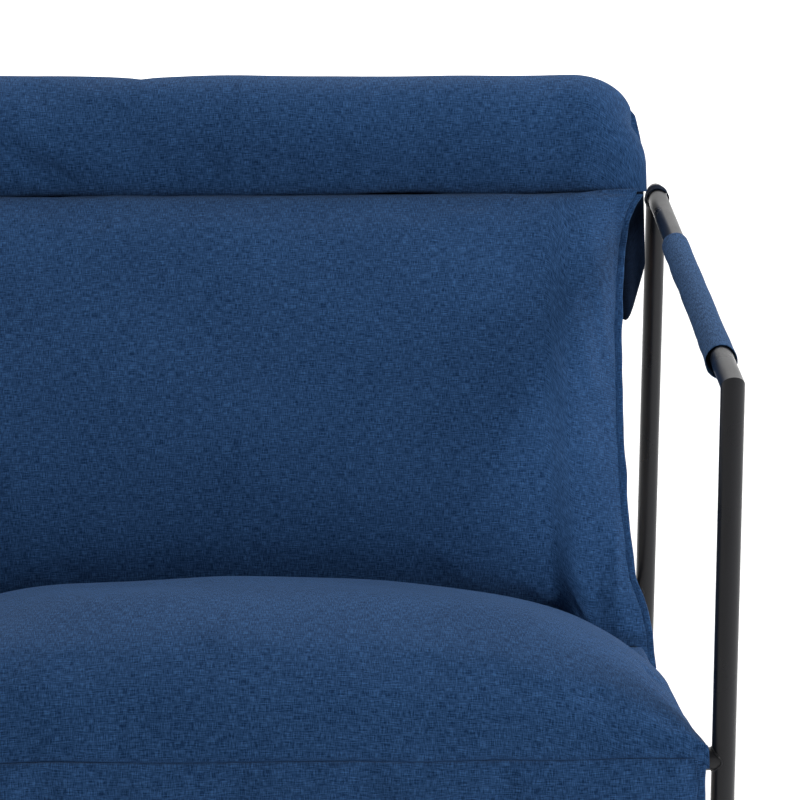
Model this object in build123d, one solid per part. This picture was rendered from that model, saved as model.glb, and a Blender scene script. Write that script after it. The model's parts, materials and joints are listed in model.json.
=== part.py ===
from build123d import *
import math
import os

# Reclining padded lounge sofa on a round steel tube frame. Millimetres, +Z up, the front faces -Y.
# Built with the front leg's axis at Y = 0, then moved so that the origin is on the floor
# under the middle of the overall box.

# ---- overall sizes -------------------------------------------------------------------------
LEG_SPACING = 902.0          # between the left and the right leg axes
ARM_LENGTH = 789.0           # front leg axis to rear arm corner
ARM_HEIGHT = 664.5           # arm tube axis above the floor
REAR_LEG_SPLAY = 62.0        # how far the rear foot stands behind the rear arm corner

# ---- steel tube ----------------------------------------------------------------------------
TUBE_D = 22.0                # legs and arms
RAIL_D = 21.3                # front and rear rails
SIDE_RAIL_D = 21.0
POST_D = 19.0
BACK_TUBE_D = 19.0           # hinged back frame
TUBE_WALL = 1.5
FRONT_RAIL_HEIGHT = 308.5    # front rail axis above the floor
REAR_RAIL_HEIGHT = 185.0     # rear rail axis above the floor
SIDE_RAIL_INSET = 46.0       # leg axis to side rail axis; side rails run from front to rear rail

# ---- feet ----------------------------------------------------------------------------------
FOOT_WALL = 2.2
FOOT_HEIGHT = 25.0
FOOT_BASE = 4.0

# ---- recliner hinge ------------------------------------------------------------------------
HINGE_SETBACK = 500.0        # hinge axis behind the front leg axis
HINGE_RISE = 32.0            # hinge axis above the side rail axis
BACK_LEAN = 30.0             # degrees from upright, at rest
PLATE_T = 4.0
PLATE_EYE_R = 18.0
FIXED_PLATE_FOOT = 21.6      # half the length of its foot along the side rail
MOVING_PLATE_REACH = 81.0    # up the back tube from the hinge axis
DISC_T = 1.2                 # fibre friction disc
DISC_R = 16.0
BOLT_D = 8.0
BOLT_CLEARANCE = 0.05        # radial, moving plate on its bolt
HINGE_GAP = 0.1              # side play each side of the moving plate
HEX_ACROSS_FLATS = 13.0
BOLT_HEAD_T = 5.3
NUT_T = 6.5

# ---- wooden slats and their plastic holders --------------------------------------------------
SLAT_WIDTH = 58.0
SLAT_T = 8.0
SLAT_CLEARANCE = 0.2
HOLDER_LENGTH = 30.0
HOLDER_WALL = 3.0
HOLDER_LIP = 3.0             # how far a holder reaches round its tube
POCKET_DEPTH = 24.0
PEG_D = 8.0
PEG_LENGTH = 6.0
SEAT_SLATS = 5
SEAT_SLAT_FIRST = 60.0
SEAT_SLAT_END = 88.0         # last slat in front of the hinge axis
SEAT_SLAT_LEVEL = 3.0        # above the side rails' plane
BACK_SLATS = 4
BACK_SLAT_FIRST = 115.0
BACK_SLAT_END = 131.0        # last slat below the top rail axis

# ---- back frame ----------------------------------------------------------------------------
BACK_LENGTH = 546.0          # hinge axis to top rail axis
BACK_TUBE_INSET = 58.0       # leg axis to back side tube axis
BACK_TUBE_START = 20.0       # lower end of the side tubes above the hinge axis
LOWER_TUBE_D = 18.0
LOWER_TUBE_AT = 50.0         # lower cross tube above the hinge axis
PLUG_HEAD_T = 3.0
PLUG_STEM = 12.0
BUMPER_T = 4.0               # rubber cap on each rest post
BUMPER_SKIRT = 12.0
FLAT_CLEARANCE = 0.3         # back tube above its rubber bumper when the back lies flat

# ---- cushions ------------------------------------------------------------------------------
CUSHION_GAP = 0.4            # between a cushion and what it rests on
PANEL_T = 11.0               # padded front panel over the front rail
PANEL_DROP = 112.0           # front panel below the front rail axis
SIDE_GAP = 6.0               # cushion side to leg
SEAT_CROWN = 104.0           # seat crown above the front rail axis
SEAT_CROWN_AT = 200.0        # behind the front leg axis
SEAT_REAR_GAP = 26.0         # seat cushion's rear end in front of the hinge axis
SEAT_REAR_RISE = 36.4        # height of its rear end
SEAT_REAR_FALL = 83.2        # from the crown to the top of the rear end
SEAT_SIDE_FALL = 26.0        # from the front rail axis down to the crown line's ends
BACK_CROWN = 88.0            # back cushion's crown in front of the back tubes' plane
BACK_CROWN_AT = 166.0        # above the hinge axis
BACK_LOW_END = 31.0          # thickness of its lower end
BACK_PAD_START = 34.0        # back cushion's lower end above the hinge axis
BACK_PAD_SIDE_GAP = 0.5      # back cushion's side to the moving plate
ROLL_R = 64.0
ROLL_END_ROUND = 45.0
ROLL_END_GAP = 4.0           # headrest roll's end to the inside of the arm
ROLL_SEAM = 8.0              # between the roll and the back cushion
FLAP_T = 4.0                 # rear cover flap
FLAP_CORNER = 29.0           # most that its corners are rounded
FLAP_CLEARANCE = 6.5         # its lower edge passes this far behind the rest posts
STRIP_T = 5.0                # fabric strip that closes the crease

# ---- arm sleeves ---------------------------------------------------------------------------
SLEEVE_START = 95.0          # behind the front leg axis
SLEEVE_END = 236.0           # in front of the rear arm corner
SLEEVE_GAP = 0.3
SLEEVE_T = 1.7
SLEEVE_FLAP_T = 1.2
SLEEVE_FLAP_ANGLE = 70.0     # degrees of the sleeve's girth under the overlap
TIE_WIDTH = 18.0             # cushion tie loop at the rear arm corner
TIE_T = 2.0

# ---- worked out ----------------------------------------------------------------------------
LEG_X = LEG_SPACING / 2
SLEEVE_LENGTH = ARM_LENGTH - SLEEVE_START - SLEEVE_END
TUBE_R = TUBE_D / 2
RAIL_R = RAIL_D / 2
SIDE_RAIL_R = SIDE_RAIL_D / 2
BACK_TUBE_R = BACK_TUBE_D / 2
SIDE_RAIL_X = LEG_X - SIDE_RAIL_INSET
BACK_TUBE_X = LEG_X - BACK_TUBE_INSET
REAR_RAIL_Y = ARM_LENGTH + REAR_LEG_SPLAY * (ARM_HEIGHT - REAR_RAIL_HEIGHT) / ARM_HEIGHT
SLOPE = math.atan((FRONT_RAIL_HEIGHT - REAR_RAIL_HEIGHT) / REAR_RAIL_Y)
LEAN = math.radians(BACK_LEAN)
HINGE_Y = HINGE_SETBACK
HINGE_Z = FRONT_RAIL_HEIGHT - HINGE_SETBACK * math.tan(SLOPE) + HINGE_RISE
FLAT_TRAVEL = 90.0 - BACK_LEAN
BACK_PLATE_X = BACK_TUBE_X + BACK_TUBE_R                  # inner face of the moving plate
PLATE_X = BACK_PLATE_X + PLATE_T + DISC_T + 2 * HINGE_GAP   # inner face of the fixed plate
NUT_X = BACK_PLATE_X - HINGE_GAP - DISC_T - NUT_T         # inner face of the nut
BUMPER_TOP = HINGE_Z - BACK_TUBE_R - FLAT_CLEARANCE
SEAT_HALF_WIDTH = LEG_X - TUBE_R - SIDE_GAP
ROLL_HALF_WIDTH = LEG_X - TUBE_R - ROLL_END_GAP
ROLL_START = BACK_LENGTH - ROLL_R
BACK_PAD_HALF_WIDTH = BACK_PLATE_X - BACK_PAD_SIDE_GAP
FLAP_START = REAR_RAIL_Y - HINGE_Y + POST_D / 2 + FOOT_WALL + FLAP_CLEARANCE

SIDES = {"left": -1, "right": 1}

# The seat's frame: Y down the side rails from the front rail's axis, Z square to them.
SEAT = Plane((0, 0, FRONT_RAIL_HEIGHT), x_dir=(1, 0, 0), z_dir=(0, math.sin(SLOPE), math.cos(SLOPE)))
# The back's frame: Y up the back tubes from the hinge axis, Z forward out of the cushion.
BACK = Plane((0, HINGE_Y, HINGE_Z), x_dir=(1, 0, 0), z_dir=(0, -math.cos(LEAN), math.sin(LEAN)))

parts = {}


def on(plane, x, y, z):
    """A point of one of the frames above, in the part's frame."""
    return plane.from_local_coords(Vector(x, y, z))


def rod(start, end, radius):
    """A solid round bar between two points."""
    start, end = Vector(*start), Vector(*end)
    return extrude(Plane(start, z_dir=end - start) * Circle(radius), amount=(end - start).length)


def tube(start, end, radius):
    """A round tube between two points."""
    return rod(start, end, radius) - rod(start, end, radius - TUBE_WALL)


def mitre(piece, corner, along, other):
    """Cut a tube that leaves the corner in one direction where it meets one that leaves in the other."""
    plane = Plane(corner, z_dir=(Vector(*along).normalized() - Vector(*other).normalized()))
    return split(piece, bisect_by=plane, keep=Keep.TOP)


def slab(plane, outline, half_width):
    """A side outline, given as (y, z) in a frame, extruded to both sides along X."""
    side = Plane(plane.origin, x_dir=plane.y_dir, z_dir=plane.x_dir)
    return extrude(side * outline, amount=half_width, both=True)


def hexagon(x, y, z, thickness):
    """A hexagonal head or nut with its axis along X."""
    face = Plane((x, y, z), z_dir=(1, 0, 0)) * RegularPolygon(HEX_ACROSS_FLATS / 2, 6, major_radius=False)
    return extrude(face, amount=thickness)


def spread(first, last, count):
    """Evenly spaced places from first to last."""
    return [first + i * (last - first) / (count - 1) for i in range(count)]


def rear_leg_y(height):
    """The rear leg axis at a height."""
    return ARM_LENGTH + REAR_LEG_SPLAY * (ARM_HEIGHT - height) / ARM_HEIGHT


# ---- side frames ---------------------------------------------------------------------------
def add_side_frame(side, sign):
    x = sign * LEG_X
    reach = 2 * TUBE_D
    front_corner = (x, 0, ARM_HEIGHT)
    rear_corner = (x, ARM_LENGTH, ARM_HEIGHT)
    rear_down = Vector(0, rear_leg_y(0) - ARM_LENGTH, -ARM_HEIGHT).normalized()
    rear_foot = (x, rear_leg_y(0), 0)
    up, down = Vector(0, 0, 1), Vector(0, 0, -1)
    back, forward = Vector(0, 1, 0), Vector(0, -1, 0)

    front_leg = tube((x, 0, FOOT_BASE), Vector(*front_corner) + up * reach, TUBE_R)
    parts[f"{side}_front_leg"] = mitre(front_leg, front_corner, down, back)

    arm = tube((x, -reach, ARM_HEIGHT), (x, ARM_LENGTH + reach, ARM_HEIGHT), TUBE_R)
    arm = mitre(arm, front_corner, back, down)
    parts[f"{side}_arm_tube"] = mitre(arm, rear_corner, forward, rear_down)

    low_end = Vector(*rear_foot) + rear_down * reach
    rear_leg = tube(low_end, Vector(*rear_corner) - rear_down * reach, TUBE_R)
    rear_leg = split(rear_leg, bisect_by=Plane((0, 0, FOOT_BASE)), keep=Keep.TOP)
    parts[f"{side}_rear_leg"] = mitre(rear_leg, rear_corner, rear_down, forward)

    for end, foot, direction in (("front", (x, 0, 0), down), ("rear", rear_foot, rear_down)):
        top = Vector(*foot) - direction * FOOT_HEIGHT
        cap = rod(Vector(*foot) + direction * reach, top, TUBE_R + FOOT_WALL)
        cap = split(cap, bisect_by=Plane((0, 0, 0)), keep=Keep.TOP)
        leg = rod(Vector(*foot) + direction * reach, top - direction * reach, TUBE_R)
        leg = split(leg, bisect_by=Plane((0, 0, FOOT_BASE)), keep=Keep.TOP)
        parts[f"{side}_{end}_foot"] = cap - leg


# ---- rails from leg to leg -------------------------------------------------------------------
def add_rails():
    front_axis = ((-LEG_X, 0, FRONT_RAIL_HEIGHT), (LEG_X, 0, FRONT_RAIL_HEIGHT))
    rear_axis = ((-LEG_X, REAR_RAIL_Y, REAR_RAIL_HEIGHT), (LEG_X, REAR_RAIL_Y, REAR_RAIL_HEIGHT))
    front, rear = tube(*front_axis, RAIL_R), tube(*rear_axis, RAIL_R)
    for sign in SIDES.values():
        x = sign * LEG_X
        front -= rod((x, 0, 0), (x, 0, ARM_HEIGHT), TUBE_R)
        rear -= rod((x, rear_leg_y(0), 0), (x, ARM_LENGTH, ARM_HEIGHT), TUBE_R)
    parts["front_rail"] = front
    parts["rear_rail"] = rear

    front_bar, rear_bar = rod(*front_axis, RAIL_R), rod(*rear_axis, RAIL_R)
    for side, sign in SIDES.items():
        # The side rail is coped to the front and the rear rail.
        x = sign * SIDE_RAIL_X
        rail = tube((x, 0, FRONT_RAIL_HEIGHT), (x, REAR_RAIL_Y, REAR_RAIL_HEIGHT), SIDE_RAIL_R)
        parts[f"{side}_side_rail"] = rail - front_bar - rear_bar

        # A post on the rear rail, with a rubber cap, where the flat back comes to rest.
        x = sign * BACK_TUBE_X
        foot, head = (x, REAR_RAIL_Y, REAR_RAIL_HEIGHT), (x, REAR_RAIL_Y, BUMPER_TOP - BUMPER_T)
        side_bar = rod((sign * SIDE_RAIL_X, 0, FRONT_RAIL_HEIGHT),
                       (sign * SIDE_RAIL_X, REAR_RAIL_Y, REAR_RAIL_HEIGHT), SIDE_RAIL_R)
        parts[f"{side}_rest_post"] = tube(foot, head, POST_D / 2) - rear_bar - side_bar
        skirt_end, cap_top = (x, REAR_RAIL_Y, head[2] - BUMPER_SKIRT), (x, REAR_RAIL_Y, BUMPER_TOP)
        cap = rod(skirt_end, cap_top, POST_D / 2 + FOOT_WALL)
        parts[f"{side}_bumper"] = cap - rod(foot, head, POST_D / 2)


# ---- slats -----------------------------------------------------------------------------------
def add_slats(name, plane, tube_node, tube_x, tube_r, level, places):
    """Slats across a pair of tubes, in holders whose pegs plug into the tubes.

    tube_node is the end of the tubes' node names, and level the height of the slats' middle
    above the tubes' plane.
    """
    face = tube_x - tube_r
    slat_end = face - HOLDER_LENGTH + POCKET_DEPTH
    holder_size = (HOLDER_LENGTH + HOLDER_LIP, SLAT_WIDTH + 2 * HOLDER_WALL, SLAT_T + 2 * HOLDER_WALL)
    pocket_size = (2 * slat_end, SLAT_WIDTH + 2 * SLAT_CLEARANCE, SLAT_T + 2 * SLAT_CLEARANCE)
    reach = (places[0] - HOLDER_LENGTH - SLAT_WIDTH, places[-1] + HOLDER_LENGTH + SLAT_WIDTH)

    for number, place in enumerate(places, start=1):
        slat = Box(2 * slat_end, SLAT_WIDTH, SLAT_T)
        slat = fillet(slat.edges().filter_by(Axis.X), SLAT_T / 4)
        parts[f"{name}_slat_{number}"] = plane.location * Location((0, place, level)) * slat

    for side, sign in SIDES.items():
        tube_bar = rod(on(plane, sign * tube_x, reach[0], 0), on(plane, sign * tube_x, reach[1], 0), tube_r)
        holders = []
        for place in places:
            middle = sign * (face + (HOLDER_LIP - HOLDER_LENGTH) / 2)
            holder = Location((middle, place, level)) * Box(*holder_size)
            holder -= Location((0, place, level)) * Box(*pocket_size)
            holder = plane.location * holder - tube_bar
            peg = rod(on(plane, sign * (face - HOLDER_WALL), place, 0),
                      on(plane, sign * (face + PEG_LENGTH), place, 0), PEG_D / 2)
            parts[f"{side}_{tube_node}"] -= peg
            holders.append(holder + peg)
        parts[f"{side}_{name}_slat_holders"] = Compound(holders)


# ---- recliner hinges -------------------------------------------------------------------------
def add_hinge(side, sign):
    def across(sketch, low, high):
        """Extrude a sketch on the YZ plane between two distances from the middle plane."""
        start = low if sign > 0 else -high
        face = Plane((start, 0, 0), x_dir=(0, 1, 0), z_dir=(1, 0, 0)) * sketch
        return extrude(face, amount=high - low)

    def eye(radius):
        return Location((HINGE_Y, HINGE_Z)) * Circle(radius)

    def pin(start_x, end_x, radius):
        return rod((start_x, HINGE_Y, HINGE_Z), (end_x, HINGE_Y, HINGE_Z), radius)

    # Fixed plate: from the side rail, which it is welded to, up to the bolt.
    foot_r = SIDE_RAIL_R / 2
    outline = eye(PLATE_EYE_R).edges()
    for step in (-FIXED_PLATE_FOOT, FIXED_PLATE_FOOT):
        end = on(SEAT, 0, HINGE_SETBACK / math.cos(SLOPE) + step, 0)
        outline += (Location((end.Y, end.Z)) * Circle(foot_r)).edges()
    plate = across(make_hull(outline), PLATE_X, PLATE_X + PLATE_T)
    bolt_hole = pin(sign * NUT_X, sign * (LEG_X + TUBE_D), BOLT_D / 2)
    rail_bar = rod(on(SEAT, sign * SIDE_RAIL_X, 0, 0), on(SEAT, sign * SIDE_RAIL_X, 2 * HINGE_SETBACK, 0),
                   SIDE_RAIL_R)
    parts[f"{side}_fixed_plate"] = plate - bolt_hole - rail_bar

    # Moving plate: from the bolt up the outside of the back tube.
    top = on(BACK, 0, MOVING_PLATE_REACH, 0)
    outline = eye(PLATE_EYE_R).edges() + (Location((top.Y, top.Z)) * Circle(BACK_TUBE_R)).edges()
    plate = across(make_hull(outline), BACK_PLATE_X, BACK_PLATE_X + PLATE_T)
    running_hole = pin(0, sign * LEG_SPACING, BOLT_D / 2 + BOLT_CLEARANCE)
    parts[f"{side}_moving_plate"] = plate - running_hole

    ring = eye(DISC_R) - eye(BOLT_D / 2)
    outer = across(ring, PLATE_X - DISC_T, PLATE_X)
    inner = across(ring, NUT_X + NUT_T, NUT_X + NUT_T + DISC_T)
    parts[f"{side}_friction_discs"] = Compound([outer, inner])

    head_x = PLATE_X + PLATE_T
    shank = pin(sign * (NUT_X - BOLT_D / 4), sign * head_x, BOLT_D / 2)
    head = hexagon(head_x if sign > 0 else -head_x - BOLT_HEAD_T, HINGE_Y, HINGE_Z, BOLT_HEAD_T)
    parts[f"{side}_hinge_bolt"] = shank + head
    nut = hexagon(NUT_X if sign > 0 else -NUT_X - NUT_T, HINGE_Y, HINGE_Z, NUT_T)
    parts[f"{side}_hinge_nut"] = nut - bolt_hole - shank


# ---- back frame ------------------------------------------------------------------------------
def back_hoop(bar):
    """The two side tubes and the top rail, mitred at the corners, each made by tube or by rod."""
    reach = 2 * BACK_TUBE_D
    down = -BACK.y_dir
    top = bar(on(BACK, -BACK_TUBE_X - reach, BACK_LENGTH, 0), on(BACK, BACK_TUBE_X + reach, BACK_LENGTH, 0),
              BACK_TUBE_R)
    hoop = {}
    for side, sign in SIDES.items():
        x = sign * BACK_TUBE_X
        corner = on(BACK, x, BACK_LENGTH, 0)
        inward = Vector(-sign, 0, 0)
        upright = bar(on(BACK, x, BACK_TUBE_START, 0), on(BACK, x, BACK_LENGTH + reach, 0), BACK_TUBE_R)
        hoop[f"{side}_back_tube"] = mitre(upright, corner, down, inward)
        top = mitre(top, corner, inward, down)
    hoop["top_rail"] = top
    return hoop


def add_back_frame():
    parts.update(back_hoop(tube))
    lower = tube(on(BACK, -BACK_TUBE_X, LOWER_TUBE_AT, 0), on(BACK, BACK_TUBE_X, LOWER_TUBE_AT, 0),
                 LOWER_TUBE_D / 2)
    for side, sign in SIDES.items():
        x = sign * BACK_TUBE_X
        lower -= rod(on(BACK, x, 0, 0), on(BACK, x, BACK_LENGTH, 0), BACK_TUBE_R)

        stem_r = BACK_TUBE_R - TUBE_WALL
        mouth = on(BACK, x, BACK_TUBE_START, 0)
        plug = rod(on(BACK, x, BACK_TUBE_START - PLUG_HEAD_T, 0), mouth, BACK_TUBE_R)
        stem = rod(mouth, on(BACK, x, BACK_TUBE_START + PLUG_STEM, 0), stem_r)
        parts[f"{side}_tube_plug"] = plug + stem
    parts["lower_back_tube"] = lower


# ---- cushions --------------------------------------------------------------------------------
def add_seat_cushion():
    front_y = -RAIL_R - CUSHION_GAP
    seam_z = FRONT_RAIL_HEIGHT + RAIL_R + CUSHION_GAP
    bed = SIDE_RAIL_R + CUSHION_GAP                   # cushion's underside above the side rails' plane
    rear_y = HINGE_Y - SEAT_REAR_GAP
    crown_z = FRONT_RAIL_HEIGHT + SEAT_CROWN
    bottom_front = on(SEAT, 0, RAIL_R + CUSHION_GAP, bed)
    bottom_rear = on(SEAT, 0, (rear_y - bed * math.sin(SLOPE)) / math.cos(SLOPE), bed)
    rear_height = SEAT_REAR_RISE

    top = Spline((front_y, seam_z + PANEL_T / 4), (SEAT_CROWN_AT, crown_z),
                 (rear_y - rear_height, crown_z - SEAT_REAR_FALL), tangents=[(0.35, 1), (0.55, -1)])
    rest = Polyline(top @ 1, (rear_y, bottom_rear.Z + rear_height), (bottom_rear.Y, bottom_rear.Z),
                    (bottom_front.Y, bottom_front.Z), (0, seam_z), (front_y, seam_z), top @ 0)
    loaf = slab(Plane.XY, make_face([top, rest]), SEAT_HALF_WIDTH)

    # Crown across the width.
    low = FRONT_RAIL_HEIGHT - SEAT_SIDE_FALL
    arch = Spline((-SEAT_HALF_WIDTH, low), (0, crown_z), (SEAT_HALF_WIDTH, low),
                  tangents=[(0.4, 1), (0.4, -1)])
    floor_z = bottom_rear.Z - SEAT_CROWN
    base = Polyline(arch @ 1, (SEAT_HALF_WIDTH, floor_z), (-SEAT_HALF_WIDTH, floor_z), arch @ 0)
    tunnel = extrude(Plane.XZ * make_face([arch, base]), amount=HINGE_Y + PANEL_T, both=True)
    parts["seat_pad"] = loaf & tunnel

    panel = Box(2 * SEAT_HALF_WIDTH, PANEL_T, PANEL_DROP + RAIL_R,
                align=(Align.CENTER, Align.MAX, Align.MAX))
    panel = fillet(panel.edges().filter_by(Axis.Y), PANEL_T)
    parts["front_panel"] = Location((0, front_y, seam_z)) * panel

    strip_height = rear_height
    strip = Box(2 * BACK_PAD_HALF_WIDTH, STRIP_T, strip_height, align=(Align.CENTER, Align.MIN, Align.MIN))
    parts["crease_strip"] = Location((0, rear_y + CUSHION_GAP, bottom_rear.Z)) * strip


def add_back_cushion():
    bed = BACK_TUBE_R + CUSHION_GAP
    end = ROLL_START - ROLL_SEAM
    front = Spline((BACK_PAD_START, bed + BACK_LOW_END), (BACK_CROWN_AT, BACK_CROWN), (end, bed + SLAT_T),
                   tangents=[(0.5, 1), (1, -0.35)])
    rest = Polyline(front @ 1, (end, bed), (BACK_PAD_START, bed), front @ 0)
    loaf = slab(BACK, make_face([front, rest]), BACK_PAD_HALF_WIDTH)

    low = bed + SLAT_T / 2
    arch = Spline((-BACK_PAD_HALF_WIDTH, low), (0, BACK_CROWN), (BACK_PAD_HALF_WIDTH, low),
                  tangents=[(0.5, 1), (0.5, -1)])
    base = Polyline(arch @ 1, (BACK_PAD_HALF_WIDTH, 0), (-BACK_PAD_HALF_WIDTH, 0), arch @ 0)
    section = Plane(BACK.origin, x_dir=BACK.x_dir, z_dir=-BACK.y_dir)
    tunnel = extrude(section * make_face([arch, base]), amount=BACK_LENGTH, both=True)
    parts["back_pad"] = loaf & tunnel

    roll_ends = [on(BACK, sign * ROLL_HALF_WIDTH, BACK_LENGTH, 0) for sign in SIDES.values()]
    roll = rod(*roll_ends, ROLL_R)
    roll = fillet(roll.edges().filter_by(GeomType.CIRCLE), ROLL_END_ROUND)
    for bar in back_hoop(rod).values():
        roll -= bar
    parts["headrest_roll"] = roll

    flap_height = ROLL_START - FLAP_START
    flap = Box(2 * (ROLL_HALF_WIDTH - ROLL_END_GAP / 2), flap_height, FLAP_T,
               align=(Align.CENTER, Align.MIN, Align.MAX))
    flap = fillet(flap.edges().filter_by(Axis.Z), min(FLAP_CORNER, 0.4 * flap_height))
    parts["rear_flap"] = BACK.location * Location((0, FLAP_START, -BACK_TUBE_R - CUSHION_GAP)) * flap


# ---- arm sleeves -----------------------------------------------------------------------------
def add_sleeve(side, sign):
    x = sign * LEG_X
    inner = TUBE_R + SLEEVE_GAP
    outer = inner + SLEEVE_T
    start = (x, SLEEVE_START, ARM_HEIGHT)
    end = (x, SLEEVE_START + SLEEVE_LENGTH, ARM_HEIGHT)
    parts[f"{side}_sleeve"] = rod(start, end, outer) - rod(start, end, inner)

    # The overlap of the wrap, closed with hook and loop, lies low on the inside.
    middle = 180.0 + 45.0 if sign > 0 else -45.0
    profile = Plane(start, x_dir=(1, 0, 0), z_dir=(0, -1, 0))
    ring = Circle(outer + SLEEVE_FLAP_T) - Circle(outer)
    reach = 3 * outer
    first, last = (math.radians(middle + turn * SLEEVE_FLAP_ANGLE / 2) for turn in (-1, 1))
    wedge = Polygon((0, 0), (reach * math.cos(first), reach * math.sin(first)),
                    (reach * math.cos(last), reach * math.sin(last)), align=None)
    parts[f"{side}_sleeve_overlap"] = extrude(profile * (ring & wedge), amount=-SLEEVE_LENGTH)

    tie_end = ARM_LENGTH - TUBE_R
    tie = ((x, tie_end - TIE_WIDTH, ARM_HEIGHT), (x, tie_end, ARM_HEIGHT))
    parts[f"{side}_tie_loop"] = rod(*tie, TUBE_R + TIE_T) - rod(*tie, TUBE_R)


for side_name, side_sign in SIDES.items():
    add_side_frame(side_name, side_sign)
    add_hinge(side_name, side_sign)
    add_sleeve(side_name, side_sign)
add_rails()
add_back_frame()
add_slats("seat", SEAT, "side_rail", SIDE_RAIL_X, SIDE_RAIL_R, SEAT_SLAT_LEVEL,
          spread(SEAT_SLAT_FIRST, HINGE_SETBACK - SEAT_SLAT_END, SEAT_SLATS))
add_slats("back", BACK, "back_tube", BACK_TUBE_X, BACK_TUBE_R, 0,
          spread(BACK_SLAT_FIRST, BACK_LENGTH - BACK_SLAT_END, BACK_SLATS))
add_seat_cushion()
add_back_cushion()

# The origin goes on the floor, under the middle of the overall box.
parts = {node: Compound(shape.solids()) for node, shape in parts.items()}
whole = Compound(list(parts.values())).bounding_box()
shift = Location((0, -(whole.min.Y + whole.max.Y) / 2, 0))

os.makedirs("parts", exist_ok=True)
for node, shape in parts.items():
    export_step(shape.moved(shift), f"parts/{node}.step")

print("origin shift Y", round(shift.position.Y, 3))
print("overall", [round(v, 1) for v in (whole.size.X, whole.size.Y, whole.size.Z)])
print("hinge axis Y Z", round(HINGE_Y + shift.position.Y, 3), round(HINGE_Z, 3), "travel", FLAT_TRAVEL)
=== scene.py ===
import json
import math

import bmesh
import bpy
import numpy as np
from mathutils import Matrix, Vector, noise


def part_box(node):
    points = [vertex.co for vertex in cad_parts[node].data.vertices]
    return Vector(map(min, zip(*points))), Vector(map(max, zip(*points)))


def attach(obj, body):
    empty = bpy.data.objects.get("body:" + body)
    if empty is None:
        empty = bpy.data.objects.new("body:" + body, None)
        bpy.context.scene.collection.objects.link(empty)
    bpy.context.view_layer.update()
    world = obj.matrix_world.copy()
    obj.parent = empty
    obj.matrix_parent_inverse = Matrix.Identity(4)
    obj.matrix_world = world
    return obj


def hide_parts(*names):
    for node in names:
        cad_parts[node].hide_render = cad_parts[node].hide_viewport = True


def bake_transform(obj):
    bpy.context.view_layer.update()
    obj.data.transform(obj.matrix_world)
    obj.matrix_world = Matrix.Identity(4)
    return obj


# Reclining padded lounge sofa. Metres, in the CAD's frame: +Z up, the front faces -Y.

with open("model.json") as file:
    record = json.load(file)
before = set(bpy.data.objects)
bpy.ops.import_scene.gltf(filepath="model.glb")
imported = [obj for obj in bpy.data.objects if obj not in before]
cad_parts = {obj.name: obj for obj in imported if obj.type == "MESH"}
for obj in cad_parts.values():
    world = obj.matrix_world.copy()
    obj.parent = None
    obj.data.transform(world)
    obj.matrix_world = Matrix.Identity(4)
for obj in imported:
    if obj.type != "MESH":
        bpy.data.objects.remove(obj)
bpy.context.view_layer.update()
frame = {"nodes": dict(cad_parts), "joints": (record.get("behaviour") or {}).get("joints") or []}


def centre(node):
    low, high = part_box(node)
    return (low + high) / 2


# ---- places from the frame -------------------------------------------------------------------
LEG = centre("right_front_leg")
LEG_X = LEG.x
TUBE_R = (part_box("right_front_leg")[1].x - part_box("right_front_leg")[0].x) / 2
LEG_INSIDE = LEG_X - TUBE_R
ARM_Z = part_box("right_arm_tube")[1].z - TUBE_R
FRONT_RAIL = centre("front_rail")
REAR_RAIL = centre("rear_rail")
RAIL_R = FRONT_RAIL.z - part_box("front_rail")[0].z
SEAT_FALL = (FRONT_RAIL.z - REAR_RAIL.z) / (REAR_RAIL.y - FRONT_RAIL.y)
SIDE_RAIL_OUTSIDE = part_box("right_side_rail")[1].x - 0.0025     # where the cover starts to turn down
HINGE = Vector(next(j for j in frame["joints"] if j["name"] == "back_recline")["pos_m"])
BACK_REACH = (centre("top_rail") - HINGE).length
UP = (centre("top_rail") - HINGE) / BACK_REACH       # up the back frame
OUT = Vector((0, -UP.z, UP.y))                       # out of the back cushion, forward

# ---- cushions: half sizes, crowns and seams --------------------------------------------------
SEAT_HALF_WIDTH = 0.437
SEAT_BED = 0.0115            # cushion's underside above the side rails' plane
SEAT_FRONT = -0.014          # front seam, behind the front rail's axis
SEAT_REAR = 0.474
SEAM_DROP = 0.008            # front seam below the cushion's underside
SEAT_RIDGE = 0.156           # highest across here
SEAT_HEIGHT = 0.1105
BACK_SEAM = 0.014            # edge seam in front of the back frame's plane
BACK_BED = 0.0105            # underside in front of the back frame's plane
BACK_CROWN = 0.070           # crown above the edge seam
BACK_START = 0.012           # lower end above the hinge axis
WING_START = -0.058          # the cover's sides reach below the hinge axis
BACK_PINCH = 0.471           # seam between the back cushion and the headrest roll
FLANGE = 0.008               # sewn edge flange outside the seam
ROLL_R = 0.0612
ROLL_HALF_WIDTH = 0.421
ROLL_LOWER_REACH = 0.0155    # the roll's ends are this much longer below
PANEL_HALF_WIDTH = 0.434
PANEL_FOOT = 0.1975          # front panel's hem above the floor
PANEL_PUFF = 0.0085
CLOTH_T = 0.0016
WRAP_T = CLOTH_T * 0.8       # finer cloth, on the tubes
FABRIC_STEP = 0.0075         # mesh size of the padded pieces
SEAT_CORNER_STEP = 0.034     # the seat's rear corners end this much earlier than its middle
SEAT_REAR_FALL = 0.038       # cover's edge over the side rails, at the rear
SEAT_CORNER_FALL = 0.010     # front seam's extra drop at its ends
BACK_FULL_AT = 0.20          # the back cushion thins out above and below here
BACK_CORNER_RISE = 0.007     # its top corners reach up to the roll's ends
ROLL_BODY = 0.355            # the roll has its full girth up to here
SEAM_TURN = math.atan2(BACK_PINCH - BACK_REACH, BACK_SEAM)   # the pinched seam, from the roll's axis
SEAM_REACH = math.hypot(BACK_PINCH - BACK_REACH, BACK_SEAM)
FLAP_LOW = 0.356
FLAP_HIGH = 0.500
FLAP_HALF_WIDTH = 0.4345
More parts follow.
